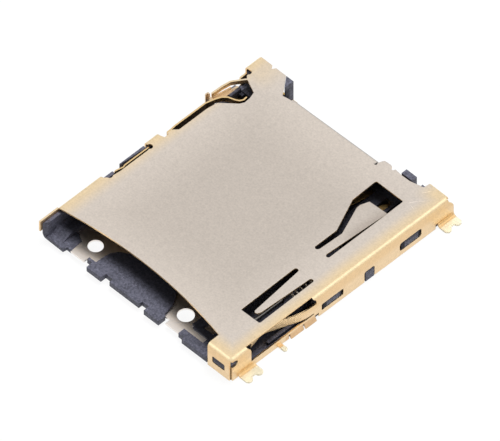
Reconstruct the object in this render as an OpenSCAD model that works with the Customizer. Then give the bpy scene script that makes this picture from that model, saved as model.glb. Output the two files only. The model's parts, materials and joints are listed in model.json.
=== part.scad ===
// Push-push memory card socket for a circuit board.
// +Y is the way the card goes in, +X is the eject mechanism's side, z = 0 is the board.

/* [Body] */
// depth from the front flange to the rear edge of the shell
body_depth = 32.3; // [32.2:0.1:32.8]
// height of the shell's top face above the board
body_height = 3.45; // [3.4:0.05:3.6]
// width of the mechanism bay, from the card channel to the right outside face
bay_width = 3.53; // [3.48:0.01:3.6]
// thickness of the shell's sheet
sheet = 0.2; // [0.16:0.02:0.22]
// outside radius of the shell's bends
bend_radius = 0.5; // [0.4:0.05:0.6]

/* [Card channel] */
// width of the card that the channel takes
card_width = 24; // [23.9:0.05:24.1]
// play of the card on each side
card_gap = 0.1; // [0.05:0.01:0.15]
// thickness of the plastic wall left of the card
guide_wall = 0.4; // [0.36:0.02:0.46]
// height of the plastic floor under the card
floor_top = 1.03; // [0.99:0.01:1.06]

/* [Floor plate] */
// thickness of the metal floor plate
plate_sheet = 0.2; // [0.15:0.01:0.25]
// diameter of the left hole in the floor plate
hole_left = 1.73; // [1.6:0.05:1.9]
// diameter of the right hole in the floor plate
hole_right = 1.92; // [1.8:0.05:2.1]

/* [Contacts] */
// width of one contact strip
contact_width = 0.7; // [0.6:0.05:0.8]
// height of a free contact's crown above the board
crown_top = 2; // [1.9:0.05:2.1]

/* [Eject mechanism] */
// full stroke of the slider
stroke = 5; // [4.6:0.1:5]
// radius of the cam pin's wire
pin_radius = 0.15; // [0.12:0.01:0.17]
// outside radius of the eject spring's coil
coil_radius = 0.6; // [0.56:0.01:0.62]
// radius of the eject spring's wire
wire_radius = 0.09; // [0.08:0.01:0.1]

/* [Solder tabs] */
// how far a solder tab reaches out from the right wall
tab_reach = 1.55; // [1.4:0.05:1.7]
// inside radius of the bend between the wall and a tab
tab_bend = 0.45; // [0.35:0.05:0.5]

/* [Hidden] */
$fn = 24;
// gaps between a plastic face and the metal beside it, and between moving pieces
fit = 0.03;
run = 0.1;
// body
channel = card_width + 2 * card_gap;
body_width = sheet + fit + guide_wall + channel + bay_width;
hw = body_width / 2;
hd = body_depth / 2;
top = body_height;
under = top - sheet;
hx = hw - sheet - fit;
card_left = -hx + guide_wall;
channel_right = card_left + channel;
card_mid = card_left + channel / 2;
// scales of the places below, which are given for a depth of 32.3, a height of 3.45,
// a card of 24, a bay of 3.53 and a guide wall of 0.4
deep = body_depth / 32.3;
high = body_height / 3.45;
wide = card_width / 24;
bay = bay_width / 3.53;
rim = guide_wall / 0.4;

// a given place: in the bay from the right side, in the rim from the left side, or from
// the middle of the card, which is given at -1.45
function at_x(v) =
  v > 10.6 ? hw - (14.18 - v) * bay :
  v < -13.5 ? -hw + (v + 14.18) * rim :
  card_mid + (v + 1.45) * wide;
function at_y(v) = v * deep;
function at_z(v) = v * high;
function at(x, y) = [at_x(x), at_y(y)];

// bends and the flat part of the top plate
bx = hw - bend_radius;
fy = -hd + bend_radius;
ry = hd - bend_radius;
bend_in = bend_radius - sheet;
bend_z = top - bend_radius;
rear_step = 0.45;
wall_foot = at_z(0.03);
// plastic beside and under the card
roof = under - fit;
guide_top = bend_z - fit;
rail_top = top - at_z(2.08);
rail_in = at_x(-11.78);
flange_left = channel_right;
stop_y = at_y(14);
hook_stop_y = at_y(14.7);
floor_end = at_y(15.7);
lug_front = -hd - 0.05;
lug_rear = at_y(-14.97);
lug_low = at_z(0.35);
pad_top = rail_top - at_z(0.55);
// floor plate
plate_top = floor_top - at_z(0.25);
plate_low = plate_top - plate_sheet;
boss_radius = 1.1;
plate_rear = at_y(4.6);
// contacts
pitch = card_width / 9.6;
last_pitch = card_width / 14.12;
contact_sheet = 0.15;
contact_root = at_y(13.2);
contact_low = at_z(0.3);
crown_y = at_y(8);
crown_radius = 0.4;
slot_width = contact_width + 0.3;
slot_front = at_y(6.4);
slot_low = at_z(0.15);
tail_end = at_y(16.45);
// slider, in its rest pose
gate_left = channel_right + 0.3;
slider_left = gate_left;
slider_front = at_y(-13);
slider_rear = at_y(-4.6);
bay_floor = at_z(0.62);
slider_low = bay_floor + run;
slab_right = hx - 0.75;
slab_low = top - at_z(1.1);
slab_top = top - at_z(0.8);
hook_top = at_z(2.1);
hook_left = at_x(9.525);
hook_front = at_y(5.3);
groove_floor = slab_top - 0.2;
lane = 2 * pin_radius + 0.2;
// eject spring and the slider's arm beside it
coil_x = slider_left + coil_radius + 0.05;
coil_z = top - at_z(1.63);
coil_front = slider_rear + 0.02;
coil_rear = at_y(4);
half_turns = 29;
post_radius = coil_radius - 2 * wire_radius - 0.13;
arm_left = coil_x + coil_radius + 0.22;
arm_right = arm_left + 0.5;
beam_right = arm_left - 0.35;
// cam pin
pin_x = slider_left + 0.52;
pin_y = at_y(-14.2);
pin_z = top - at_z(0.62);
pin_end = slider_rear - at_y(1.3);
pin_swing = 0.6;
// shell leaf
leaf_low = at_z(1.09);
leaf_top = slab_low - 0.08;
leaf_root = at_y(-3.75);
leaf_bend = at_y(6.9);
leaf_turn = 21;
leaf_run = at_y(3.2);
leaf_nose = at_y(1.6);
leaf_back = 12.5;
leaf_tail = at_y(1.8);
// side opening over the leaf
open_front = at_y(-13.1);
open_rear = at_y(-3.35);
rail_high = at_z(0.9);
// switches on the left
arm_top = top - at_z(0.04);
arm_low = top - at_z(0.65);
root_low = rail_top + run;
arm_sheet = 0.18;
shelf_low = at_z(2.3);
blade_sheet = 0.15;
blade_top = at_z(2.85);

nickel = [0.84, 0.8, 0.76];
gold = [0.93, 0.79, 0.56];
copper = [0.86, 0.66, 0.32];
resin = [0.15, 0.15, 0.19];
steel = [0.72, 0.72, 0.74];

// a box from its lowest to its highest corner
module box(a, b) {
  translate(a) cube([b[0] - a[0], b[1] - a[1], b[2] - a[2]]);
}

// a flat piece from its outline in plan
module flat(points, z0, z1) {
  translate([0, 0, z0]) linear_extrude(z1 - z0) polygon(points);
}

// a piece of wall from its outline in y and z
module side_piece(points, x0, x1) {
  translate([x0, 0, 0]) rotate([90, 0, 90]) linear_extrude(x1 - x0) polygon(points);
}

// a piece from its section in x and z
module section_piece(points, y0, y1) {
  translate([0, y1, 0]) rotate([90, 0, 0]) linear_extrude(y1 - y0) polygon(points);
}

// a quarter bend along Y, from the top plate down to a wall at +x
module bend_along_y(y0, y1) {
  intersection() {
    translate([bx, y0, bend_z]) rotate([-90, 0, 0]) difference() {
      cylinder(r = bend_radius, h = y1 - y0);
      translate([0, 0, -1]) cylinder(r = bend_in, h = y1 - y0 + 2);
    }
    box([bx, y0, bend_z], [hw + 1, y1, top + 1]);
  }
}

// a quarter bend along X, from the top plate down to a flange at the front
module bend_along_x(x0, x1) {
  intersection() {
    translate([x0, fy, bend_z]) rotate([0, 90, 0]) difference() {
      cylinder(r = bend_radius, h = x1 - x0);
      translate([0, 0, -1]) cylinder(r = bend_in, h = x1 - x0 + 2);
    }
    box([x0, -hd - 1, bend_z], [x1, fy, top + 1]);
  }
}

// the rounded corner where the two bends meet
module round_corner() {
  intersection() {
    translate([bx, fy, bend_z]) difference() {
      sphere(r = bend_radius);
      sphere(r = bend_in);
    }
    box([bx, -hd - 1, bend_z], [hw + 1, fy, top + 1]);
  }
}

// a straight strip of sheet on edge between two points in plan
module run_strip(a, b, thick, z0, z1) {
  dx = b[0] - a[0];
  dy = b[1] - a[1];
  translate([a[0], a[1], z0]) rotate([0, 0, atan2(dy, dx)])
    translate([0, -thick / 2, 0]) cube([sqrt(dx * dx + dy * dy), thick, z1 - z0]);
}

// a strip of sheet on edge that follows points in plan, rounded where it turns
module strip(points, thick, z0, z1) {
  for (i = [0 : len(points) - 2]) run_strip(points[i], points[i + 1], thick, z0, z1);
  for (i = [1 : len(points) - 1])
    translate([points[i][0], points[i][1], z0]) cylinder(r = thick / 2, h = z1 - z0);
}

// a curved strip of sheet on edge about a centre
module arc_strip(centre, radius, from, sweep, thick, z0, z1) {
  translate([centre[0], centre[1], z0]) rotate([0, 0, from])
    rotate_extrude(angle = sweep, $fn = 96)
      translate([radius - thick / 2, 0]) square([thick, z1 - z0]);
}

// a round-ended groove between two points in plan
module groove(a, b, width, z0, z1) {
  run_strip(a, b, width, z0, z1);
  translate([a[0], a[1], z0]) cylinder(d = width, h = z1 - z0);
  translate([b[0], b[1], z0]) cylinder(d = width, h = z1 - z0);
}

// outline of the top plate inside its bends, from the front right corner round to the mouth
plate_outline = [
  [flange_left, fy],
  [bx, fy],
  [bx, ry + rear_step],
  [at_x(11.305), ry + rear_step],
  at(11.255, 15.55),
  at(9.605, 15.12),
  at(8.405, 15.08),
  at(7.605, 15.16),
  at(7.385, 15.2),
  at(7.245, 14.9),
  at(7.005, 14.9),
  at(6.805, 15.2),
  at(6.555, 15.3),
  at(5.705, 15.24),
  at(5.525, 14.95),
  at(5.355, 14.45),
  at(-7.495, 14.18),
  at(-8.435, 14),
  at(-10.195, 16.25),
  at(-11.645, 16.25),
  at(-11.945, 15.8),
  at(-12.245, 16.25),
  [-bx, at_y(16.25)],
  [-bx, at_y(14.15)],
  at(-13.245, 14.15),
  at(-13.095, 13.3),
  at(-12.745, 13),
  at(-10.895, 12.15),
  at(-10.645, 11.3),
  at(-10.595, 10.5),
  at(-10.845, 10),
  at(-12.595, 8.4),
  at(-12.795, 7.1),
  at(-12.795, 2.9),
  at(-13.345, 2.3),
  at(-13.345, 1.65),
  at(-13.095, 1.6),
  at(-13.095, 1.05),
  at(-13.345, 0.95),
  [-bx, at_y(0.85)],
  [-bx, at_y(-0.9)],
  at(-13.245, -1),
  at(-13.045, -1.5),
  at(-13.045, -5.6),
  at(-13.195, -7.1),
  [-bx, at_y(-7.6)],
  [-bx, at_y(-13.9)],
  at(-13.195, -14.6),
  [flange_left, at_y(-14.9)]
];

// the window in the top plate over the cam pin, with its tongue left out
front_window = [
  at(9.885, -10.3),
  at(12.435, -10.25),
  at(12.545, -10.1),
  at(12.425, -2.2),
  at(11.885, -2.2),
  at(11.565, -9.05),
  at(11.385, -9.48),
  at(11.125, -9.56),
  at(10.935, -9.38),
  at(10.265, -2.3),
  at(9.685, -2.3),
  at(9.805, -10.2)
];

// the window in the top plate over the card's corner, with its tongue left out
rear_window = [
  at(9.025, 1.6),
  at(9.025, 4.75),
  at(7.155, 9),
  at(7.055, 12.4),
  at(7.155, 12.6),
  at(11.005, 12.62),
  at(11.125, 12.5),
  at(11.185, 1.6)
];

// the tongue that presses on the card, flat before it is bent down
brake = [
  at(9.605, 1.5),
  at(9.545, 5.05),
  at(7.845, 8.95),
  at(7.785, 9.5),
  at(8.105, 10.6),
  at(10.565, 10.75),
  at(10.645, 10.6),
  at(10.645, 1.5)
];

// a round hole through the top plate
module plate_hole(p, r) {
  translate([p[0], p[1], under - 1]) cylinder(r = r, h = 2);
}

module top_plate() {
  mouth_radius = at_y(60.3);
  root = at_y(1.5);
  difference() {
    flat(plate_outline, under, top);
    // curved front edge of the mouth
    intersection() {
      translate([at_x(-2.895), at_y(-73.2), under - 1]) cylinder(r = mouth_radius, h = 3, $fn = 360);
      box([-hw - 1, -hd - 1, under - 1], [flange_left, at_y(-12), top + 1]);
    }
    flat(front_window, under - 1, top + 1);
    plate_hole(at(9.975, -2.3), 0.29);
    plate_hole(at(12.155, -2.2), 0.27);
    flat(rear_window, under - 1, top + 1);
    plate_hole(at(9.295, 1.6), 0.27);
    plate_hole(at(10.935, 1.6), 0.25);
    // relief holes beside the bends
    plate_hole(at(5.255, 14.3), 0.2);
    plate_hole(at(-13.295, -1), 0.35);
    plate_hole(at(-13.395, -6.9), 0.35);
    plate_hole(at(-13.345, 13.8), 0.35);
  }
  // the pressing tongue, bent down from the plate
  translate([0, root, top]) rotate([-5.2, 0, 0]) translate([0, -root, -top])
    flat(brake, under, top);
}

// outline of a window with its corners rounded off
function rounded(a0, a1, z0, z1, r) = [
  [a0, z0 + r], [a0 + 0.3 * r, z0 + 0.3 * r], [a0 + r, z0],
  [a1 - r, z0], [a1 - 0.3 * r, z0 + 0.3 * r], [a1, z0 + r],
  [a1, z1 - r], [a1 - 0.3 * r, z1 - 0.3 * r], [a1 - r, z1],
  [a0 + r, z1], [a0 + 0.3 * r, z1 - 0.3 * r], [a0, z1 - r]
];

// a cut through the right wall
module wall_cut(y0, y1, z0, z1) {
  box([hw - 1, y0, z0], [hw + 1, y1, z1]);
}

// rear edge of the right wall, in y and z
wall_end = [
  [at_y(15.9), at_z(0.7)],
  [at_y(17.1), at_z(0.7)],
  [at_y(17.1), at_z(1.75)],
  [at_y(16.95), at_z(2.1)],
  [at_y(16.55), at_z(2.55)],
  [at_y(16.3), at_z(2.75)],
  [at_y(15.9), at_z(2.75)]
];

// the opening over the leaf, in y and z
side_opening = [
  [open_front, rail_high],
  [open_rear - 0.4, rail_high],
  [open_rear - 0.4, leaf_top],
  [open_rear, leaf_top],
  [open_rear, top - at_z(0.8)],
  [open_rear - 0.12, top - at_z(0.5)],
  [open_rear - 0.4, top - at_z(0.25)],
  [open_rear - 0.8, top + 1],
  [open_front - 0.55, top + 1],
  [open_front - 0.5, top - at_z(0.15)],
  [open_front - 0.1, top - at_z(0.6)],
  [open_front, top - at_z(1)]
];

// where the right solder tabs and the small finger stand along the wall
front_tab = [at_y(-15.07), at_y(-12.6)];
rear_tab = [at_y(14.75), at_y(17.12)];
finger_y = at_y(-8.875);
finger_radius = 0.275;

module right_side() {
  lip_z = at_z(0.6);
  difference() {
    union() {
      bend_along_y(fy, ry + rear_step);
      box([hw - sheet, at_y(-15.9), wall_foot], [hw, at_y(16.35), bend_z]);
      // the wall runs on past the rear edge
      side_piece(wall_end, hw - sheet, hw);
      box([hw - sheet, at_y(6.6), 0], [hw, at_y(8.4), lip_z]);
    }
    // notch in the front edge, under the rounded corner
    box([hw - 1, at_y(-17), at_z(2.05)], [hw + 1, at_y(-15.5), bend_z - 0.01]);
    translate([hw - 1, at_y(-15.5), (at_z(2.05) + bend_z - 0.01) / 2]) rotate([0, 90, 0])
      cylinder(r = at_z(0.4), h = 2);
    // side opening, also through the bend
    side_piece(side_opening, bx + 0.1, hw + 1);
    side_piece(rounded(at_y(-2.6), at_y(0.65), at_z(0.65), at_z(1.6), 0.15), hw - 1, hw + 1);
    side_piece(rounded(at_y(9.05), at_y(12.3), at_z(0.7), at_z(1.9), 0.3), hw - 1, hw + 1);
    wall_cut(at_y(3.78), at_y(5.3), -1, at_z(1.3));
    wall_cut(at_y(4.03), at_y(5.05), at_z(1), at_z(1.55));
    translate([hw - 1, at_y(4.03), at_z(1.3)]) rotate([0, 90, 0]) cylinder(r = 0.25, h = 2);
    translate([hw - 1, at_y(5.05), at_z(1.3)]) rotate([0, 90, 0]) cylinder(r = 0.25, h = 2);
    // the tabs and the lips start above the wall's foot
    wall_cut(front_tab[0], front_tab[1], -1, sheet + tab_bend);
    wall_cut(rear_tab[0] - 0.35, rear_tab[0] - 0.175, -1, at_z(0.55));
    wall_cut(rear_tab[0] - 0.2, rear_tab[1] + 1, -1, sheet + tab_bend);
    translate([hw - 1, rear_tab[0] - 0.175, at_z(0.55)]) rotate([0, 90, 0])
      cylinder(r = 0.175, h = 2);
    wall_cut(at_y(-7.5), at_y(-3), -1, lip_z);
  }
  // lips that hang to the board, splayed outwards
  section_piece([[hw - sheet, lip_z + 0.05], [hw - sheet, lip_z], [hw, 0], [hw + 0.2, 0],
    [hw, lip_z], [hw, lip_z + 0.05]], at_y(-7.3), at_y(-5.42));
  section_piece([[hw - sheet, lip_z + 0.05], [hw - sheet, lip_z], [hw + 0.08, 0], [hw + 0.28, 0],
    [hw, lip_z], [hw, lip_z + 0.05]], at_y(-5.22), at_y(-3.6));
  // small finger on the board
  box([hw - sheet, finger_y - finger_radius + 0.01, 0],
    [hw + 0.78, finger_y + finger_radius - 0.01, sheet + 0.02]);
  translate([hw + 0.78, finger_y, 0]) cylinder(r = finger_radius, h = sheet + 0.02);
}

// the leaf cut from the right wall, bowed in towards the slider
module side_leaf() {
  root_x = hw - sheet / 2;
  c1 = [root_x - leaf_bend, leaf_root];
  p1 = [c1[0] + leaf_bend * cos(leaf_turn), c1[1] - leaf_bend * sin(leaf_turn)];
  p2 = [p1[0] - leaf_run * sin(leaf_turn), p1[1] - leaf_run * cos(leaf_turn)];
  c2 = [p2[0] + leaf_nose * cos(leaf_turn), p2[1] - leaf_nose * sin(leaf_turn)];
  p3 = [c2[0] - leaf_nose * cos(leaf_back), c2[1] - leaf_nose * sin(leaf_back)];
  p4 = [p3[0] + leaf_tail * sin(leaf_back), p3[1] - leaf_tail * cos(leaf_back)];
  thick = sheet - 0.02;
  lap = 0.05;
  arc_strip(c1, leaf_bend, -leaf_turn, leaf_turn + 0.3, thick, leaf_low, leaf_top);
  run_strip([p1[0] + lap * sin(leaf_turn), p1[1] + lap * cos(leaf_turn)],
    [p2[0] - lap * sin(leaf_turn), p2[1] - lap * cos(leaf_turn)], thick - 0.02,
    leaf_low + 0.01, leaf_top - 0.01);
  arc_strip(c2, leaf_nose, 180 - leaf_turn, leaf_turn + leaf_back, thick, leaf_low, leaf_top);
  run_strip([p3[0] - lap * sin(leaf_back), p3[1] + lap * cos(leaf_back)], p4, thick - 0.02,
    leaf_low + 0.01, leaf_top - 0.01);
  box([hw - sheet, leaf_root, leaf_low - 0.02], [hw, open_rear + 0.1, leaf_top + 0.02]);
}

// a two-lobed solder tab on the board, reaching out from a wall at x = 0
module solder_tab(y0, y1, reach) {
  mid = (y0 + y1) / 2;
  notch = (y1 - y0) * 0.12;
  lobe = (y1 - y0) / 4 - notch / 2;
  bend = sheet + tab_bend;
  difference() {
    union() {
      box([bend, y0 + 0.01, 0], [reach - lobe, y1 - 0.01, sheet]);
      translate([reach - lobe, y0 + lobe, 0]) cylinder(r = lobe, h = sheet);
      translate([reach - lobe, y1 - lobe, 0]) cylinder(r = lobe, h = sheet);
    }
    translate([reach - notch * 0.4, mid, -1]) cylinder(r = notch, h = 2);
  }
  // the bend down from the wall to the board
  intersection() {
    translate([bend, y0, bend]) rotate([-90, 0, 0]) difference() {
      cylinder(r = bend, h = y1 - y0);
      translate([0, 0, -1]) cylinder(r = tab_bend, h = y1 - y0 + 2);
    }
    box([0, y0, 0], [bend, y1, bend]);
  }
  box([0, y0, bend], [sheet, y1, bend + 0.1]);
}

module left_side() {
  mirror([1, 0, 0]) {
    // front wall piece, and the band that runs forward from it
    bend_along_y(at_y(-13.9), at_y(-7.6));
    box([hw - sheet, at_y(-13.9), at_z(0.5)], [hw, at_y(-7.6), bend_z]);
    box([hw - sheet, at_y(-16.66), top - at_z(1.6)], [hw, at_y(-13.9), top - at_z(0.1)]);
    // middle piece
    bend_along_y(at_y(-0.9), at_y(0.85));
    box([hw - sheet, at_y(-0.9), at_z(0.3)], [hw, at_y(0.85), bend_z]);
    // rear corner piece
    bend_along_y(at_y(14.15), at_y(16.25));
    box([hw - sheet, at_y(14.15), at_z(0.3)], [hw, at_y(16.25), bend_z]);
    box([hw - sheet, at_y(13.3), at_z(0.3)], [hw, at_y(14.25), top - at_z(1.1)]);
  }
  // guard strip that sweeps out beside the card detect switch
  strip([at(-12.615, 13.16), at(-13.095, 12.5), at(-13.755, 11.5), at(-13.915, 10.4), at(-13.965, 9)],
    sheet, top - at_z(0.55), top);
}

module shell() {
  color(gold) {
    top_plate();
    right_side();
    side_leaf();
    left_side();
    round_corner();
    // front flange with its window
    bend_along_x(flange_left, bx);
    difference() {
      box([flange_left, -hd, wall_foot], [hw - 0.27, -hd + sheet, bend_z]);
      section_piece(rounded(at_x(11.35), at_x(13.2), at_z(1), at_z(1.95), 0.15), -hd - 1, -hd + 1);
    }
    // rear corner flange
    translate([0, rear_step, 0]) difference() {
      mirror([0, 1, 0]) {
        bend_along_x(at_x(11.305), bx);
        round_corner();
        box([at_x(11.305), -hd, top - at_z(1.6)], [bx, -hd + sheet, bend_z]);
      }
      box([at_x(11.105), hd - 1, -1], [at_x(11.485), hd + 1, top - at_z(1)]);
      translate([hw - 0.2, hd - 0.2, 0]) cylinder(r = 0.14, h = top);
    }
    rear_lip();
    translate([hw - sheet, 0, 0]) solder_tab(front_tab[0], front_tab[1], tab_reach + sheet);
    translate([hw - sheet, 0, 0]) solder_tab(rear_tab[0], rear_tab[1], tab_reach - 0.12 + sheet);
    mirror([1, 0, 0]) translate([hw - sheet, 0, 0])
      solder_tab(at_y(14.1), at_y(16), tab_reach - 0.35 + sheet);
    mirror([1, 0, 0]) translate([hw - sheet, 0, 0])
      solder_tab(at_y(-10.6), at_y(-8.7), tab_reach - 0.35 + sheet);
  }
}

// short lip bent down from the rear edge between the two bosses
module rear_lip() {
  lip = 0.35;
  skin = 0.01;
  long = at_x(5.205) - at_x(-7.295);
  translate([at_x(-7.295), at_y(14.19), 0]) rotate([0, 0, 1.2]) {
    intersection() {
      translate([0, 0, top - lip]) rotate([0, 90, 0]) difference() {
        cylinder(r = lip - skin, h = long);
        translate([0, 0, -1]) cylinder(r = lip - sheet + skin, h = long + 2);
      }
      box([0, 0, top - lip], [long, 1, top + 1]);
    }
    box([0, lip - sheet + skin, top - at_z(1.1)], [long, lip - skin, top - lip]);
    box([0, -0.3, under + skin], [long, 0, top - skin]);
  }
}

// outline of the floor plate, from its front left tongue round to the left rail
floor_outline = [
  at(-10.395, -15.7),
  at(-8.395, -15.7),
  at(-8.395, -15.1),
  at(3.055, -15.1),
  at(3.855, -14.97),
  at(3.855, -15.7),
  at(5.955, -15.7),
  [at_x(5.955), lug_rear],
  [at_x(8.755), lug_rear],
  at(8.755, -11.2),
  at(6.605, -11.2),
  [at_x(6.605), plate_rear],
  [rail_in, plate_rear],
  [rail_in, at_y(-13.35)],
  at(-11.295, -13.35),
  at(-11.295, -13.5),
  at(-10.545, -13.85),
  at(-10.395, -15.6)
];

module floor_plate() {
  color(nickel) difference() {
    flat(floor_outline, plate_low, plate_top);
    translate([at_x(-9.045), at_y(-13.3), -1]) cylinder(d = hole_left, h = 3);
    translate([at_x(4.585), at_y(-13.37), -1]) cylinder(d = hole_right, h = 3);
    translate([0, 0, -1]) cylinder(r = boss_radius, h = 3);
  }
}

// front left lug of the plastic, beside the plate's tongue
corner = [
  [-hx, at_y(-13.35)],
  [-hx, at_y(-16.04)],
  at(-11.145, -16.1),
  at(-11.045, -15.6),
  at(-10.395, -15.6),
  at(-10.545, -13.85),
  at(-11.295, -13.5),
  at(-11.295, -13.35)
];

// front end of the rail, in y and z, with the ramp that lifts the card
rail_nose = [
  [at_y(-16.04), lug_low],
  [at_y(-16.04), pad_top - 0.01],
  [at_y(-15.3), pad_top + 0.06],
  [at_y(-14.4), rail_top],
  [at_y(-13.9), rail_top],
  [at_y(-13.9), lug_low]
];

// side of the guide wall, in y and z, with its leaning nose
nose = [
  [at_y(-16.02), lug_low],
  [at_y(-16.19), at_z(0.73)],
  [at_y(-16.36), rail_top],
  [at_y(-16.36), guide_top],
  [at_y(-5.95), guide_top],
  [at_y(-5.95), lug_low]
];

// plan of the guide wall's slanted lead-in, wider than the wall
lead_in = [
  [-hx - guide_wall, at_y(-17.02)],
  [card_left + guide_wall, at_y(-15.04)],
  [card_left + guide_wall, at_y(-5)],
  [-hx - guide_wall, at_y(-5)]
];

// outer fin beside the write protect switch
fin = [
  at(-14.035, -4.8),
  at(-13.935, -4.8),
  at(-13.655, -1.2),
  at(-14.035, -1.2)
];

// the plastic island moulded over the middle of the floor plate
island = [
  [at_x(-7.495), lug_front],
  [at_x(-5.345), lug_front],
  at(-5.345, -15.45),
  at(-4.295, -15.45),
  at(-4.295, -15.95),
  at(0.105, -15.95),
  at(0.105, -15.45),
  at(1.105, -15.45),
  [at_x(1.105), lug_front],
  [at_x(3.305), lug_front],
  at(3.305, -15.15),
  at(3.055, -14.95),
  at(2.865, -14),
  at(2.685, -13.35),
  at(2.295, -12.67),
  at(1.865, -12.1),
  at(1.005, -11.5),
  at(-0.795, -11.2),
  at(-3.295, -11.2),
  at(-5.295, -11.5),
  at(-6.595, -12.3),
  at(-7.055, -13.04),
  at(-7.175, -13.65),
  at(-7.265, -15),
  at(-8.245, -15.05),
  at(-8.245, -15.35),
  at(-7.495, -15.35)
];

module contact_slot(x) {
  box([x - slot_width / 2, slot_front, slot_low], [x + slot_width / 2, contact_root + 0.02, 2.5]);
}

module housing() {
  runner = boss_radius + 0.4;
  latch_in = hx - 0.1;
  latch_out = hw - fit;
  color(resin) difference() {
    union() {
      // front left lug, the rail under the card's edge and the guide wall above it
      flat(corner, lug_low, pad_top);
      side_piece(rail_nose, -hx, rail_in);
      box([-hx, at_y(-14), 0], [rail_in, contact_root, rail_top]);
      intersection() {
        side_piece(nose, -hx, card_left);
        flat(lead_in, 0, top);
      }
      box([-hx, at_y(-0.9), 0], [card_left, at_y(0.9), guide_top]);
      box([-hx, at_y(14.1), 0], [card_left, floor_end, guide_top - 0.1]);
      flat(fin, 0, top - at_z(0.35));
      // island with its front lugs, and the runner to the rear floor
      flat(island, plate_top, floor_top);
      intersection() {
        flat(island, lug_low, floor_top);
        box([at_x(-8.895), at_y(-17), 0], [at_x(4.105), at_y(-15.1), 2]);
      }
      box([-runner, at_y(-12), plate_top], [runner, plate_rear + 1, floor_top]);
      cylinder(r = boss_radius, h = floor_top);
      // floor right of the plate, with two low ribs that reach on to it
      box([at_x(6.505), at_y(-11.25), 0], [gate_left - run, plate_rear, floor_top]);
      box([at_x(6.465), at_y(-14.2), plate_top], [at_x(8.855), at_y(-13.4), floor_top]);
      box([at_x(6.105), at_y(-13.9), plate_top], [at_x(7.205), at_y(-10.5), floor_top]);
      // rear floor under the contacts, and the wall that stops the card
      box([-hx, plate_rear - 0.5, 0], [hook_left - run, floor_end, floor_top]);
      box([hook_left - run - 0.1, plate_rear - 0.5, 0], [hx, floor_end, bay_floor]);
      box([-hx, stop_y, 0], [at_x(7.105), at_y(14.8), at_z(2.3)]);
      box([at_x(7.005), hook_stop_y, 0], [hx, floor_end, at_z(2.3)]);
      // right lug at the mouth, the floor beside it and the floor of the mechanism bay
      box([at_x(6.805), lug_front, lug_low], [flange_left - 0.05, lug_rear, floor_top]);
      box([at_x(5.955), at_y(-15.84), lug_low], [at_x(6.905), lug_rear, floor_top]);
      box([at_x(8.755), at_y(-15.3), 0], [gate_left - run, plate_rear, floor_top]);
      box([gate_left - run - 0.1, at_y(-15.3), 0], [hx, plate_rear, bay_floor]);
      // block that holds the cam pin
      box([gate_left, -hd + sheet + fit, 0], [hx, slider_front - 0.3, roof]);
      // low ledges inside the side opening and the wall behind it
      box([slab_right + run, at_y(-13.4), 0], [hx, at_y(-11), at_z(0.9)]);
      box([slab_right + run, at_y(-10.1), 0], [hx - 0.22, open_rear, leaf_low - 0.06]);
      box([slab_right + run, open_rear, 0], [hx, floor_end, roof]);
      // seat of the eject spring and the post inside the coil
      box([gate_left, coil_rear + 0.02, 0], [arm_left - run, coil_rear + 0.8, top - at_z(1)]);
      translate([coil_x, coil_rear + 0.1, coil_z]) rotate([90, 0, 0])
        cylinder(r = post_radius, h = 1.3);
      // latches that snap into the wall windows
      box([latch_in, at_y(-2.35), at_z(0.75)], [latch_out, at_y(0.35), at_z(1.5)]);
      box([latch_in, at_y(9.3), at_z(0.8)], [latch_out, at_y(12.05), at_z(1.75)]);
      box([latch_in, at_y(3.9), at_z(0.1)], [hw + 0.05, at_y(5.18), at_z(1.45)]);
      box([at_x(11.45), -hd + 0.05, at_z(1.1)], [at_x(13.1), -hd + 0.4, at_z(1.85)]);
      // bosses at the rear edge
      flat([at(-9.095, 15.05), at(-9.095, 16.3), at(-10.175, 16.3), at(-9.195, 15.05)], 0,
        top - at_z(0.08));
      box([at_x(10.705), at_y(15.6), 0], [at_x(11.205), at_y(15.9), top - at_z(0.3)]);
      box([at_x(8.005), at_y(15.45), 0], [at_x(9.555), at_y(16.2), top - at_z(0.25)]);
      // blocks in the bay of the card detect switch
      box([at_x(-12.645), at_y(12.2), 0], [at_x(-11.095), at_y(13.9), at_z(2.2)]);
      box([at_x(-12.895), at_y(11.8), 0], [at_x(-12.295), at_y(13.9), at_z(2)]);
      box([at_x(-13.795), at_y(10.6), 0], [at_x(-12.795), at_y(12.2), shelf_low]);
      box([at_x(-13.145), at_y(10.6), 0], [at_x(-12.795), at_y(12.2), shelf_low + 0.2]);
    }
    // clear of the shell's bends
    box([bx - fit, -hd - 1, guide_top], [hw + 1, hd + 2, top + 1]);
    box([-hx - 0.01, -hd - 1, guide_top], [-bx + fit, at_y(-6), top + 1]);
    box([flange_left - 0.1, -hd - 1, guide_top], [hw + 1, fy + fit, top + 1]);
    // room for the floor plate, open below and round the boss in its middle
    difference() {
      flat(floor_outline, -1, plate_top);
      translate([0, 0, -2]) cylinder(r = boss_radius, h = 4);
    }
    for (i = [0 : 8]) contact_slot(contact_x(i));
    for (i = [0 : 8]) contact_bed(contact_x(i));
    // pivot of the cam pin, and the way that its wire swings
    translate([pin_x, pin_y, top - at_z(1.7)]) cylinder(r = pin_radius + 0.05, h = 3);
    flat([[pin_x - 0.3, pin_y - 0.3], [pin_x + 0.3, pin_y - 0.3], [pin_x + 0.5, slider_front],
      [pin_x - 0.3, slider_front]], pin_z - pin_radius - run, top + 1);
  }
}

// pad centres across the card, from the mechanism's side to the left
function contact_x(i) =
  i == 8 ? card_mid - 3 * pitch - last_pitch :
  card_mid + (4 - i) * pitch;

// the bed of a contact through the rear wall, open below at its tail
module contact_bed(x) {
  w = contact_width / 2;
  box([x - w, contact_root - 0.3, contact_low], [x + w, hd + 2, contact_low + contact_sheet]);
  box([x - w, floor_end + 0.04, -1], [x + w, hd + 2, contact_low + contact_sheet]);
}

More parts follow.
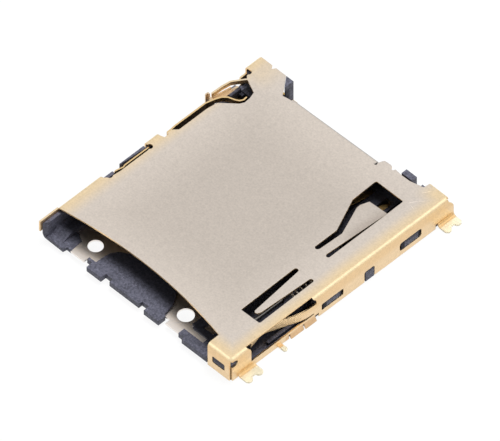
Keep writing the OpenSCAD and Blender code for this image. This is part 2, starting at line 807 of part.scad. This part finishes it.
module contact(x) {
  w = contact_width;
  t = contact_sheet;
  knee = floor_end + 0.05;
  rise = crown_top - crown_radius - contact_low - t / 2;
  reach = contact_root - crown_y;
  slope = atan2(rise + crown_radius - t / 2, reach);
  color(copper) translate([x - w / 2, 0, 0]) {
    // tail on the board and the bed in the wall
    box([0, knee, 0], [w, tail_end, t]);
    box([0, knee, 0], [w, knee + t, contact_low + t]);
    box([0, contact_root, contact_low], [w, knee + t, contact_low + t]);
    // spring beam up to the crown
    translate([0, contact_root, contact_low + t / 2]) rotate([-slope, 0, 0])
      translate([0, -reach / cos(slope) + crown_radius * 0.9, -t / 2])
        cube([w, reach / cos(slope) - crown_radius * 0.9 + 0.05, t]);
    translate([0, crown_y, crown_top - crown_radius]) rotate([90, 0, 90])
      rotate([0, 0, 20]) rotate_extrude(angle = 140, $fn = 36)
        translate([crown_radius - t, 0]) square([t, w]);
    // lead-in at the tip
    translate([0, crown_y - crown_radius * 0.93, crown_top - crown_radius * 0.72])
      rotate([25, 0, 0]) translate([0, 0, -0.62]) cube([w, t, 0.75]);
  }
}

module contact_1() { contact(contact_x(1)); }
module contact_2() { contact(contact_x(2)); }
module contact_3() { contact(contact_x(3)); }
module contact_4() { contact(contact_x(4)); }
module contact_5() { contact(contact_x(5)); }
module contact_6() { contact(contact_x(6)); }
module contact_7() { contact(contact_x(7)); }
module contact_8() { contact(contact_x(8)); }
module contact_9() { contact(contact_x(0)); }

// slider in its rest pose, with the heart-shaped cam in its top and the hook for the card
module slider() {
  rest = [pin_x, pin_end];
  crest = [pin_x + pin_swing, pin_end - stroke - 0.2];
  notch = [pin_x + pin_swing + 0.35, pin_end - stroke + 0.6];
  over = [slab_right - 0.5, pin_end - stroke - 0.25];
  back = [slab_right - 0.5, pin_end - 1.6];
  hook_y = [hook_front - at_y(0.4), hook_front + at_y(1.5), hook_front + at_y(2.1), hook_front + at_y(3)];
  color(resin) difference() {
    union() {
      box([slider_left, slider_front, slider_low], [beam_right, slider_rear, slab_top]);
      box([slider_left, slider_front, slab_low], [slab_right, slider_rear, slab_top]);
      // the front of the eject spring bears on the block's rear face, round this post
      translate([coil_x, slider_rear - 0.1, coil_z]) rotate([-90, 0, 0])
        cylinder(r = post_radius, h = 1.9);
      // arm beside the spring and the hook across the card's cut corner
      box([beam_right - 0.1, slider_rear - at_y(1.4), slider_low], [arm_right, slider_rear, slab_top]);
      box([arm_left, slider_rear - 0.1, slider_low], [arm_right, hook_y[3], hook_top]);
      flat([[arm_left + 0.1, hook_y[0]], [hook_left + 1.5, hook_front],
        [hook_left, hook_y[1]], [hook_left, hook_y[2]],
        [arm_left + 0.1, hook_y[3]]], slider_low, hook_top);
    }
    groove(rest, crest, lane, groove_floor, top);
    groove(crest, notch, lane, groove_floor, top);
    groove(notch, over, lane, groove_floor, top);
    groove(over, back, lane, groove_floor, top);
    groove(back, rest, lane, groove_floor, top);
  }
}

// half turn of the eject spring, from one side of the coil to the other
module half_turn(y, up) {
  step = (coil_rear - coil_front - 2 * wire_radius) / half_turns;
  r = coil_radius - wire_radius;
  lean = atan2(step, 2 * r);
  long = sqrt(r * r + step * step / 4);
  translate([coil_x, y + step / 2, coil_z]) rotate([0, 0, up ? -lean : lean])
    rotate([90, 0, 0]) rotate([0, 0, up ? 0.1 : 180.1]) rotate_extrude(angle = 179.8, $fn = 14)
      translate([long, 0]) circle(r = wire_radius, $fn = 13);
}

module eject_spring() {
  step = (coil_rear - coil_front - 2 * wire_radius) / half_turns;
  color(steel) for (i = [0 : half_turns - 1])
    half_turn(coil_front + wire_radius + i * step, i % 2 == 0);
}

// wire pin: one end turns in the housing, the other follows the slider's cam
module cam_pin() {
  color(steel) {
    translate([pin_x, pin_y, pin_z]) rotate([-90, 0, 0])
      cylinder(r = pin_radius, h = pin_end - pin_y);
    translate([pin_x, pin_y, top - at_z(1.6)])
      cylinder(r = pin_radius, h = pin_z - top + at_z(1.6));
    translate([pin_x, pin_y, pin_z]) sphere(r = pin_radius);
    translate([pin_x, pin_end, groove_floor + 0.03])
      cylinder(r = pin_radius, h = pin_z - groove_floor - 0.03);
    translate([pin_x, pin_end, pin_z]) sphere(r = pin_radius);
  }
}

// spring strip of the card detect switch, from the plate's edge to the curl
module detect_arm() {
  color(gold) {
    strip([at(-13.435, 1.75), at(-13.435, 2.3), at(-13.515, 3), at(-13.495, 7.5), at(-13.195, 8.6),
      at(-12.895, 9.3), at(-12.395, 9.8), at(-11.645, 10.05), at(-11.195, 10.3), at(-10.975, 10.7),
      at(-11.015, 11.15)], arm_sheet, arm_low, arm_top);
    // the straight part stands lower, down to the rail
    strip([at(-13.435, 1.8), at(-13.435, 2.3), at(-13.515, 3), at(-13.495, 7.5), at(-13.215, 8.5)],
      arm_sheet - 0.02, root_low, arm_low + 0.05);
  }
}

module detect_terminal() {
  color(gold) {
    // shelf on its block and the blade that stands on it
    flat([at(-13.945, 8.65), at(-13.455, 8.65), at(-13.455, 9.3), at(-13.195, 10.2), at(-13.195, 12.2),
      at(-13.445, 12.2), at(-13.945, 9.2)], shelf_low, shelf_low + blade_sheet);
    run_strip(at(-13.915, 8.9), at(-13.495, 11.33), blade_sheet, shelf_low, blade_top);
    // point that the arm closes on, and the head outside the body
    box([at_x(-14.395), at_y(8.65), shelf_low], [at_x(-13.455), at_y(8.8), blade_top + 0.1]);
    box([at_x(-14.425), at_y(8.35), at_z(1.4)], [at_x(-14.295), at_y(8.8), top - at_z(0.05)]);
    box([at_x(-14.425), at_y(8.65), at_z(2.7)], [at_x(-14.095), at_y(8.8), top - at_z(0.05)]);
  }
}

module detect_common() {
  color(copper)
    box([at_x(-12.775), at_y(9.2), rail_top], [at_x(-11.495), at_y(11.7), rail_top + blade_sheet]);
}

// spring strip of the write protect switch, rooted at the middle post
module protect_arm() {
  color(gold) strip([at(-13.495, -0.95), at(-13.495, -4.5), at(-13.395, -4.85), at(-13.495, -5.2),
    at(-13.615, -5.8)], 0.16, top - at_z(1.3), top - at_z(0.3));
}

module protect_terminal() {
  color(copper) {
    box([at_x(-13.945), at_y(-5.85), rail_top], [at_x(-13.495), at_y(-4.9), rail_top + blade_sheet]);
    box([at_x(-13.945), at_y(-5.85), rail_top], [at_x(-13.825), at_y(-5.4), top - at_z(0.8)]);
  }
}

housing();
shell();
floor_plate();
contact_1();
contact_2();
contact_3();
contact_4();
contact_5();
contact_6();
contact_7();
contact_8();
contact_9();
slider();
eject_spring();
cam_pin();
detect_arm();
detect_terminal();
detect_common();
protect_arm();
protect_terminal();
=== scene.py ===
"""Looks of a push-push memory card socket: metals, plastic, floor, light and camera."""

import json
import math

import bpy
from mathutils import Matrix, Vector


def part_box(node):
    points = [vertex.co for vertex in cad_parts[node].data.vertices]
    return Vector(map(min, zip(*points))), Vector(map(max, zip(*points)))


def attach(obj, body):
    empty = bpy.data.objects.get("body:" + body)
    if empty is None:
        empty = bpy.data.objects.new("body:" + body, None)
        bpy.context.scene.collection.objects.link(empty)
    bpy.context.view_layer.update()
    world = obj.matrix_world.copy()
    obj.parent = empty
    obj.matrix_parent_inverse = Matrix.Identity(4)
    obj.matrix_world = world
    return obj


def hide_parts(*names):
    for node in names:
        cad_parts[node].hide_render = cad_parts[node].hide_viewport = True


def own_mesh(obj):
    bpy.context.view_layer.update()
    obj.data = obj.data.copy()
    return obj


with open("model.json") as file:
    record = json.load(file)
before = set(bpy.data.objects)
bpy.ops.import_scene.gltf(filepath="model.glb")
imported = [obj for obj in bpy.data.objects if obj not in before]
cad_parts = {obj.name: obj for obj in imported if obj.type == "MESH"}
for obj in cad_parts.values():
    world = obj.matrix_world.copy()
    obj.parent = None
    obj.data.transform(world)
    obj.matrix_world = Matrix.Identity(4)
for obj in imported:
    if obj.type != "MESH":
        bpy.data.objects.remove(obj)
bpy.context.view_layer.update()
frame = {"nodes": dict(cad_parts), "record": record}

MM = 0.001

# camera, from the photograph: angles in degrees, lengths in metres
VIEW_AZIMUTH = 45.2
VIEW_ELEVATION = 48.9
VIEW_DISTANCE = 0.5
VIEW_TARGET = Vector((-0.125, 0.89, 0.69)) * MM
VIEW_WIDTH = 52.97 * MM
CLIP_START, CLIP_END = 0.001, 20

# soft square lamps, all at one distance in metres:
# name, azimuth, elevation, side in metres, power in watts, whether the metal mirrors it
LAMP_DISTANCE = 1.0
LAMPS = (
    ("top", 190, 72, 0.5, 8.8, False),
    ("side", 118, 40, 0.6, 2.2, False),
    ("right", 128, 40, 0.6, 0.9, True),
    ("front", -38, 40, 0.6, 0.9, True),
)

# strength of the white world: for diffuse light, and mirrored at the horizon and above
WORLD_DIFFUSE = 0.22
WORLD_LOW, WORLD_HIGH = 0.7, 1.0

# floor: half its side and how far it lies below the object, in metres
FLOOR_HALF = 3.0
FLOOR_DROP = 0.01 * MM

# places on the object, in millimetres
HALF_WIDTH = 14.18
HALF_DEPTH = 16.15
MOUTH_X, MOUTH_Y, MOUTH_RADIUS = -2.895, -73.2, 60.3
TABS = ((1, -13.84), (1, 15.94), (-1, -9.65), (-1, 15.05))  # 1 right or -1 left, and y
LATCHES = (10.8, -0.85, 4.54)  # y of the windows in the right wall
MARKS = (  # start, end and width of the handling marks
    ((11.6, 12.7), (12.3, 13.9), 0.06),
    ((12.2, 13.7), (12.8, 14.4), 0.05),
    ((11.6, 14.7), (12.3, 15.9), 0.06),
    ((12.0, 12.8), (12.8, 12.6), 0.05),
)
FLAT = 0.998  # the normal's upward part, above which the shell counts as flat

# eject spring: radius of its wire, turns in all and closed ones at each end, and their pitch
WIRE = 0.09 * MM
TURNS = 14
CLOSED_TURNS = 1.5
CLOSED_PITCH = 2.1 * WIRE

# linear colours
NICKEL = (0.60, 0.535, 0.475)
NICKEL_PALE = (0.71, 0.635, 0.565)
NICKEL_WARM = (0.86, 0.67, 0.41)
WALL_GOLD = (0.83, 0.60, 0.34)
WALL_PALE = (0.87, 0.665, 0.42)
BEND_GOLD = (0.92, 0.75, 0.48)
TAB_GOLD = (0.91, 0.84, 0.63)
# painted light for the leaf in the side opening, a brighter gold
LEAF_LIT_GOLD = (1.0, 0.73, 0.41)
LIP_GOLD = (0.71, 0.46, 0.25)
# painted shade for the brake tongue by its slit
TONGUE_SHADE = (0.29, 0.235, 0.19)
# painted shade for the wall at the tabs' bends
TAB_ROOT_SHADE = (0.72, 0.44, 0.16)
FLOOR_NICKEL = (0.90, 0.84, 0.79)
CONTACT_GOLD = (0.62, 0.42, 0.17)
ARM_GOLD = (0.80, 0.58, 0.30)
TERMINAL_GOLD = (0.78, 0.62, 0.44)
SPRING_STEEL = (0.95, 0.88, 0.76)
WIRE_STEEL = (0.17, 0.165, 0.16)
REAR_EDGE = (0.50, 0.48, 0.455)
RESIN = (0.103, 0.104, 0.138)
SLIDER_RESIN = (0.085, 0.087, 0.118)
WHITE = (1.0, 1.0, 1.0)
FLOOR_GREY = (0.86, 0.86, 0.86)


def rgba(colour, times=1.0):
    return (*(c * times for c in colour), 1.0)


class Nodes:
    """A node tree, with short ways to add and link nodes."""

    def __init__(self, tree):
        self.tree = tree
        tree.nodes.clear()

    def add(self, kind, **settings):
        node = self.tree.nodes.new(kind)
        for key, value in settings.items():
            setattr(node, key, value)
        return node

    def put(self, node, socket, value):
        """Links an output to a socket, or sets a plain value on it."""
        target = socket if isinstance(socket, bpy.types.NodeSocket) else node.inputs[socket]
        if isinstance(value, bpy.types.NodeSocket):
            self.tree.links.new(value, target)
        else:
            target.default_value = value

    def math(self, operation, a, b=0.0):
        node = self.add("ShaderNodeMath", operation=operation)
        self.put(node, 0, a)
        self.put(node, 1, b)
        return node.outputs[0]

    def fold(self, operation, values):
        """One operation over several values, from the first to the last."""
        result = values[0]
        for value in values[1:]:
            result = self.math(operation, result, value)
        return result

    def largest(self, *values):
        return self.fold("MAXIMUM", values)

    def smallest(self, *values):
        return self.fold("MINIMUM", values)

    def product(self, *values):
        return self.fold("MULTIPLY", values)

    def total(self, *values):
        return self.fold("ADD", values)

    def away(self, value, centre):
        """How far a length is from a centre that is given in millimetres."""
        return self.math("ABSOLUTE", self.math("SUBTRACT", value, centre * MM))

    def level(self, value, at_zero, at_one):
        """A factor from 0 to 1 turned into a value between two others."""
        return self.total(self.product(value, at_one - at_zero), at_zero)

    def blend(self, factor, a, b, mode="MIX", kind="RGBA"):
        node = self.add("ShaderNodeMix", data_type=kind, blend_type=mode)
        for name, value in (("Factor", factor), ("A", a), ("B", b)):
            socket = [s for s in node.inputs if s.name == name and s.enabled][0]
            self.put(node, socket, value)
        return [s for s in node.outputs if s.enabled][0]

    def ramp(self, value, low, high):
        """0 at low and 1 at high, smooth between; low may be the larger one."""
        node = self.add("ShaderNodeMapRange", interpolation_type="SMOOTHSTEP")
        self.put(node, "Value", value)
        self.put(node, "From Min", low)
        self.put(node, "From Max", high)
        return node.outputs["Result"]

    def zone(self, *edges):
        """1 past every soft edge: a length, then where it gives 0 and 1 in millimetres."""
        return self.product(*[self.ramp(value, low * MM, high * MM) for value, low, high in edges])

    def block(self, *limits):
        """1 between hard limits: a length, then its limits in millimetres or None, 0 outside."""
        inside = []
        for value, low, high in limits:
            if low is not None:
                inside.append(self.math("GREATER_THAN", value, low * MM))
            if high is not None:
                inside.append(self.math("LESS_THAN", value, high * MM))
        return self.product(*inside)

    def noise(self, vector, scale, detail, rough):
        node = self.add("ShaderNodeTexNoise")
        self.put(node, "Vector", vector)
        self.put(node, "Scale", scale)
        self.put(node, "Detail", detail)
        self.put(node, "Roughness", rough)
        return node.outputs["Fac"]

    def split(self, vector):
        node = self.add("ShaderNodeSeparateXYZ")
        self.put(node, 0, vector)
        return node.outputs

    def place(self):
        """Place on the object in metres: vector, x, y, z."""
        vector = self.add("ShaderNodeTexCoord").outputs["Object"]
        return (vector, *self.split(vector))

    def upward(self):
        """The surface normal's upward part."""
        return self.split(self.add("ShaderNodeNewGeometry").outputs["Normal"])[2]

    def bevel(self, radius):
        """Normal that runs round the edges, as on sheet with worn edges."""
        node = self.add("ShaderNodeBevel", samples=4)
        self.put(node, "Radius", radius)
        return node.outputs[0]

    def bump(self, height, strength, distance, edge_radius):
        node = self.add("ShaderNodeBump")
        self.put(node, "Strength", strength)
        self.put(node, "Distance", distance)
        self.put(node, "Height", height)
        self.put(node, "Normal", self.bevel(edge_radius))
        return node.outputs["Normal"]

    def stroke(self, x, y, start, end, width):
        """1 on a thin line on the top plate between two points in millimetres, 0 beside it."""
        length = math.dist(start, end)
        ax, ay = (end[0] - start[0]) / length, (end[1] - start[1]) / length
        rx = self.math("SUBTRACT", x, start[0] * MM)
        ry = self.math("SUBTRACT", y, start[1] * MM)
        along = self.total(self.product(rx, ax), self.product(ry, ay))
        across = self.math("SUBTRACT", self.product(rx, ay), self.product(ry, ax))
        return self.zone((self.math("ABSOLUTE", across), width, 0.3 * width),
                         (self.away(along, length / 2), length / 2, length / 4))

    def under_plate(self, x, y):
        """0 well in front of the top plate's curved mouth edge, 1 under the plate."""
        dx = self.math("SUBTRACT", x, MOUTH_X * MM)
        dy = self.math("SUBTRACT", y, MOUTH_Y * MM)
        reach = self.math("SQRT", self.total(self.product(dx, dx), self.product(dy, dy)))
        return self.zone((reach, MOUTH_RADIUS - 1.9, MOUTH_RADIUS + 0.1))

    def scaled(self, colour, low, high, factor):
        """A colour between low and high times as bright, by a factor from 0 to 1."""
        return self.blend(factor, rgba(colour, low), rgba(colour, high))

    def surface(self, colour, rough, metallic, normal, **extra):
        shader = self.add("ShaderNodeBsdfPrincipled")
        self.put(shader, "Base Color", colour)
        self.put(shader, "Roughness", rough)
        self.put(shader, "Metallic", metallic)
        self.put(shader, "Normal", normal)
        for key, value in extra.items():
            self.put(shader, key.replace("_", " "), value)
        self.output("Material", shader.outputs[0])

    def output(self, kind, surface):
        node = self.add("ShaderNodeOutput" + kind)
        self.put(node, "Surface", surface)


def new_material(name):
    material = bpy.data.materials.new(name)
    material.use_nodes = True
    return material, Nodes(material.node_tree)


def rolled_metal(name, colour, rough=0.3, metallic=1.0):
    """Plated strip: one colour with fine grain, faint stains and worn roughness."""
    material, n = new_material(name)
    vector, _, _, _ = n.place()
    fine = n.noise(vector, 5200.0, 3.0, 0.6)
    stain = n.noise(vector, 420.0, 3.0, 0.55)
    mixed = n.total(n.product(fine, 0.6), n.product(stain, 0.4))
    tint = n.scaled(colour, 0.92, 1.08, mixed)
    roughness = n.level(stain, rough - 0.06, rough + 0.06)
    n.surface(tint, roughness, metallic, n.bump(fine, 0.12, 0.004 * MM, 0.05 * MM))
    return material


def shell_metal():
    """Thin gold over nickel: pale on the flat top, gold on the bends, walls and edges."""
    material, n = new_material("shell_plated")
    vector, x, y, z = n.place()
    up = n.upward()
    fine = n.noise(vector, 4300.0, 3.0, 0.65)
    cloud = n.noise(vector, 150.0, 3.0, 0.55)
    side = n.math("ABSOLUTE", x)

    # the flat top: paler away from its middle, gold towards its edges
    far = n.largest(n.math("DIVIDE", side, HALF_WIDTH * MM),
                    n.math("DIVIDE", n.math("ABSOLUTE", y), HALF_DEPTH * MM))
    top = n.blend(n.ramp(far, 0.4, 0.95), rgba(NICKEL), rgba(NICKEL_PALE))
    left = n.zone((x, 2.6 - HALF_WIDTH, 0.3 - HALF_WIDTH))
    right = n.zone((x, HALF_WIDTH - 2.2, HALF_WIDTH - 0.3))
    flange = n.zone((y, 2.4 - HALF_DEPTH, 0.5 - HALF_DEPTH), (x, 7.0, 9.0))
    rear_left = n.zone((x, -9.5, -12.5), (y, 12.0, 14.5))
    rear_right = n.zone((x, 10.5, 13.0), (y, 13.5, 15.8))
    gold = n.largest(left, right, flange, n.product(rear_left, 0.5), rear_right)
    top = n.blend(n.product(gold, n.level(cloud, 0.6, 1.2)), top, rgba(NICKEL_WARM))
    # painted shade: the brake tongue bends down towards its slit and mirrors darker there, so it
    # is coloured darker there
    brake = n.zone((x, 9.0, 10.9), (x, 11.25, 11.15), (y, 3.0, 7.0), (y, 10.9, 10.8))
    top = n.blend(n.product(brake, 0.5), top, rgba(TONGUE_SHADE))

    # the rear edge keeps its nickel, with a painted highlight, a pale line, where its lip bends
    # down
    rear = n.zone((y, 13.9, 14.1), (x, 5.8, 5.2), (x, -8.6, -8.0))
    line = n.product(rear, n.zone((y, 14.45, 14.35)))
    top = n.blend(n.product(line, 0.5), top, rgba(NICKEL_PALE))
    bend = n.blend(rear, rgba(BEND_GOLD), rgba(REAR_EDGE))

    # bends and walls; the walls are a little paler towards the board
    colour = n.blend(n.ramp(up, FLAT, 0.86), top, bend)
    wall = n.blend(n.zone((z, 2.3, 1.3)), rgba(WALL_GOLD), rgba(WALL_PALE))
    wall = n.blend(rear, wall, rgba(REAR_EDGE))
    colour = n.blend(n.ramp(up, 0.65, 0.2), colour, wall)
    colour = n.blend(n.zone((z, 2.2, 1.2)), colour, wall)
    # the low lip by the side opening is a darker gold
    lips = n.product(n.zone((z, 0.8, 0.5)), n.block((x, 13.0, None), (y, -8.0, -3.0)))
    colour = n.blend(n.product(lips, 0.8), colour, rgba(LIP_GOLD))
    # the tabs: a deep gold painted shade on the wall at their bends, pale on the board
    tabs = n.largest(*[n.product(n.zone((n.away(y, at_y), 1.7, 0.7)),
                                 n.block((n.product(x, hand), 13.0, None)))
                       for hand, at_y in TABS])
    root_shade = n.product(tabs, n.zone((z, 1.0, 0.4)), n.level(cloud, 0.4, 1.1))
    colour = n.blend(root_shade, colour, rgba(TAB_ROOT_SHADE))
    on_board = n.zone((side, HALF_WIDTH + 0.25, HALF_WIDTH + 0.5), (z, 0.45, 0.25))
    colour = n.blend(on_board, colour, rgba(TAB_GOLD))

    # painted light: the leaf inside the side opening is coloured a brighter gold and made less
    # metallic, so that it shows lit along its whole length
    leaf = n.block((z, None, 2.4), (x, 9.5, 13.95), (y, -13.6, -3.8))
    colour = n.blend(leaf, colour, rgba(LEAF_LIT_GOLD))

    # handling marks by the rear corner, grain, and painted shade that darkens the underside
    marks = n.largest(*[n.stroke(x, y, *mark) for mark in MARKS])
    blot = n.noise(vector, 1700.0, 3.0, 0.6)
    shade = n.total(n.level(fine, 0.80, 1.20), n.level(blot, -0.09, 0.09),
                    n.level(cloud, -0.04, 0.04), n.product(marks, 0.28))
    shade = n.product(shade, n.level(n.ramp(up, -0.2, -0.8), 1.0, 0.55))
    colour = n.blend(1.0, colour, shade, "MULTIPLY")
    roughness = n.total(n.level(cloud, 0.25, 0.37), n.product(n.ramp(up, FLAT, 0.9), 0.12),
                        n.product(on_board, 0.15))
    metallic = n.level(n.largest(leaf, n.product(on_board, 0.7)), 1.0, 0.1)
    n.surface(colour, roughness, metallic, n.bump(fine, 0.16, 0.004 * MM, 0.07 * MM))
    return material


def moulded(name, colour, rough):
    """Glass-filled resin: nearly black, with a fine grain, flow marks and pale specks."""
    material, n = new_material(name)
    vector, x, y, z = n.place()
    up = n.upward()
    fine = n.ramp(n.noise(vector, 3600.0, 3.0, 0.7), 0.3, 0.7)
    flow = n.noise(vector, 500.0, 3.0, 0.6)
    speck = n.ramp(n.noise(vector, 5200.0, 1.0, 0.5), 0.64, 0.74)
    mixed = n.total(n.product(fine, 0.65), n.product(flow, 0.35))
    tint = n.scaled(colour, 0.4, 1.6, mixed)
    tint = n.blend(n.product(speck, 0.5), tint, rgba(colour, 2.6))

    # painted shade: near black under the plate, a little darker on upright faces, and darkest high
    # up and at the ends of the windows in the right wall and the front flange; the same mask also
    # lowers the specular there
    inside = n.product(n.zone((z, 3.0, 2.6)), n.under_plate(x, y),
                       n.zone((n.math("ABSOLUTE", x), 13.3, 12.8), (y, 15.9, 15.5)))
    upright = n.ramp(n.math("ABSOLUTE", up), 0.5, 0.2)
    front = n.block((y, None, -15.6), (x, 9.2, None))
    wall = n.block((x, 13.5, None), (y, None, 14.5))
    middle = n.smallest(*[n.away(y, at_y) for at_y in LATCHES])
    ends = n.product(wall, n.zone((middle, 0.9, 1.05)))
    high = n.product(n.largest(front, wall), n.zone((z, 1.1, 1.6)), 0.6)
    window = n.product(upright, n.largest(high, ends), n.block((z, None, 2.1)))
    painted_shade = n.largest(n.product(inside, 0.65), n.product(upright, 0.1), n.product(window, 0.85))
    tint = n.blend(painted_shade, tint, rgba(colour, 0.05))
    roughness = n.level(flow, rough - 0.07, rough + 0.08)
    n.surface(tint, roughness, 0.0, n.bump(fine, 0.45, 0.015 * MM, 0.06 * MM),
              Specular_IOR_Level=n.level(painted_shade, 0.3, 0.05))
    return material


def floor_material():
    """White floor: reads as white to the camera and in the metal, and takes a soft shadow."""
    material, n = new_material("floor_white")
    path = n.add("ShaderNodeLightPath")
    seen = n.largest(path.outputs["Is Camera Ray"], path.outputs["Is Glossy Ray"],
                     path.outputs["Is Transmission Ray"])
    plain = n.add("ShaderNodeBsdfDiffuse")
    n.put(plain, "Color", rgba(FLOOR_GREY))
    glow = n.add("ShaderNodeEmission")
    n.put(glow, "Color", rgba(WHITE))
    n.put(glow, "Strength", 1.03)
    mix = n.add("ShaderNodeMixShader")
    n.put(mix, 0, n.product(seen, 0.88))
    n.put(mix, 1, plain.outputs[0])
    n.put(mix, 2, glow.outputs[0])
    n.output("Material", mix.outputs[0])
    return material


def looks():
    """A material for each of the record's slots."""
    return {
        "resin": moulded("resin", RESIN, 0.5),
        "slider_resin": moulded("slider_resin", SLIDER_RESIN, 0.42),
        "shell_plated": shell_metal(),
        "floor_nickel": rolled_metal("floor_nickel", FLOOR_NICKEL, 0.34),
        "contact_copper": rolled_metal("contact_copper", CONTACT_GOLD),
        "spring_steel": rolled_metal("spring_steel", SPRING_STEEL, metallic=0.4),
        "wire_steel": rolled_metal("wire_steel", WIRE_STEEL),
        "arm_gold": rolled_metal("arm_gold", ARM_GOLD, 0.32),
        "terminal_gold": rolled_metal("terminal_gold", TERMINAL_GOLD, 0.4),
    }


def dress(materials):
    """Puts a material on every node of the frame, by the slot that it takes."""
    slots = {part["node"]: part["material_slot"] for part in frame["record"]["subparts"]}
    for name, node in frame["nodes"].items():
        node.data.materials.clear()
        node.data.materials.append(materials[slots[name]])


def add_object(name, data):
    piece = bpy.data.objects.new(name, data)
    bpy.context.scene.collection.objects.link(piece)
    return piece


def eject_helix(material):
    """The eject spring as one wire with closed ends."""
    low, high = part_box("eject_spring")
    radius = (high[0] - low[0]) / 2 - WIRE
    middle = Vector(((low[0] + high[0]) / 2, 0, (low[2] + high[2]) / 2))
    start, end = low[1] + WIRE, high[1] - WIRE
    open_pitch = (end - start - 2 * CLOSED_TURNS * CLOSED_PITCH) / (TURNS - 2 * CLOSED_TURNS)

    def centre(turn):
        """Point of the wire's centre line after so many turns."""
        first = min(turn, CLOSED_TURNS)
        last = max(turn - (TURNS - CLOSED_TURNS), 0)
        along = start + (first + last) * CLOSED_PITCH + (turn - first - last) * open_pitch
        angle = 2 * math.pi * turn
        return middle + Vector((radius * math.cos(angle), along, radius * math.sin(angle)))

    # rings of points along the wire
    steps, sides = 28, 8
    count = TURNS * steps
    points, faces = [], []
    for i in range(count + 1):
        turn = i / steps
        here = centre(turn)
        run = (centre(turn + 0.01) - centre(turn - 0.01)).normalized()
        out = Vector((here.x - middle.x, 0, here.z - middle.z)).normalized()
        across = run.cross(out).normalized()
        for k in range(sides):
            a = 2 * math.pi * k / sides
            points.append(here + out * WIRE * math.cos(a) + across * WIRE * math.sin(a))
    for i in range(count):
        for k in range(sides):
            a, b = i * sides + k, i * sides + (k + 1) % sides
            faces.append((a, b, b + sides, a + sides))
    faces.append(tuple(range(sides))[::-1])
    faces.append(tuple(range(count * sides, (count + 1) * sides)))
    mesh = bpy.data.meshes.new("eject_helix")
    mesh.from_pydata(points, [], faces)
    mesh.shade_smooth()
    mesh.materials.append(material)
    piece = add_object("eject_helix", mesh)
    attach(piece, "base")
    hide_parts("eject_spring")
    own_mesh(piece)


def floor():
    """A large white plane just below the object."""
    mesh = bpy.data.meshes.new("floor")
    signs = ((-1, -1), (1, -1), (1, 1), (-1, 1))
    corners = [(x * FLOOR_HALF, y * FLOOR_HALF, 0) for x, y in signs]
    mesh.from_pydata(corners, [], [(0, 1, 2, 3)])
    mesh.materials.append(floor_material())
    piece = add_object("floor", mesh)
    piece.location.z = -FLOOR_DROP


def aim(piece, azimuth, elevation, distance):
    """Makes it look at the object; azimuth 0 is the front, 90 the right, both in degrees."""
    a, e = math.radians(azimuth), math.radians(elevation)
    out = Vector((math.sin(a) * math.cos(e), -math.cos(a) * math.cos(e), math.sin(e)))
    piece.location = VIEW_TARGET + out * distance
    piece.rotation_euler = out.to_track_quat("Z", "Y").to_euler()


def lamps():
    """Soft lamps; the metal is kept from mirroring some, so that it keeps its colour."""
    for name, azimuth, elevation, size, power, mirrored in LAMPS:
        data = bpy.data.lights.new(name, "AREA")
        data.size = size
        data.energy = power
        piece = add_object(name, data)
        aim(piece, azimuth, elevation, LAMP_DISTANCE)
        piece.visible_glossy = mirrored


def surroundings():
    """A white world for the camera and what the metal mirrors, dimmer as diffuse light."""
    world = bpy.data.worlds.new("studio")
    bpy.context.scene.world = world
    world.use_nodes = True
    n = Nodes(world.node_tree)
    path = n.add("ShaderNodeLightPath")
    height = n.split(n.add("ShaderNodeTexCoord").outputs["Generated"])[2]
    sky = n.level(n.ramp(height, 0.05, 0.45), WORLD_LOW, WORLD_HIGH)
    mirrored = n.largest(path.outputs["Is Glossy Ray"], path.outputs["Is Transmission Ray"])
    strength = n.blend(mirrored, WORLD_DIFFUSE, sky, kind="FLOAT")
    strength = n.blend(path.outputs["Is Camera Ray"], strength, 1.0, kind="FLOAT")
    back = n.add("ShaderNodeBackground")
    n.put(back, "Color", rgba(WHITE))
    n.put(back, "Strength", strength)
    n.output("World", back.outputs[0])


def camera():
    """A parallel view, as the photograph shows no perspective that can be measured."""
    data = bpy.data.cameras.new("camera")
    data.type = "ORTHO"
    data.ortho_scale = VIEW_WIDTH
    data.clip_start = CLIP_START
    data.clip_end = CLIP_END
    view = add_object("camera", data)
    aim(view, VIEW_AZIMUTH, VIEW_ELEVATION, VIEW_DISTANCE)
    bpy.context.scene.camera = view


camera()
surroundings()
lamps()
floor()
materials = looks()
dress(materials)
eject_helix(materials["spring_steel"])
bpy.context.scene.view_settings.view_transform = "Standard"
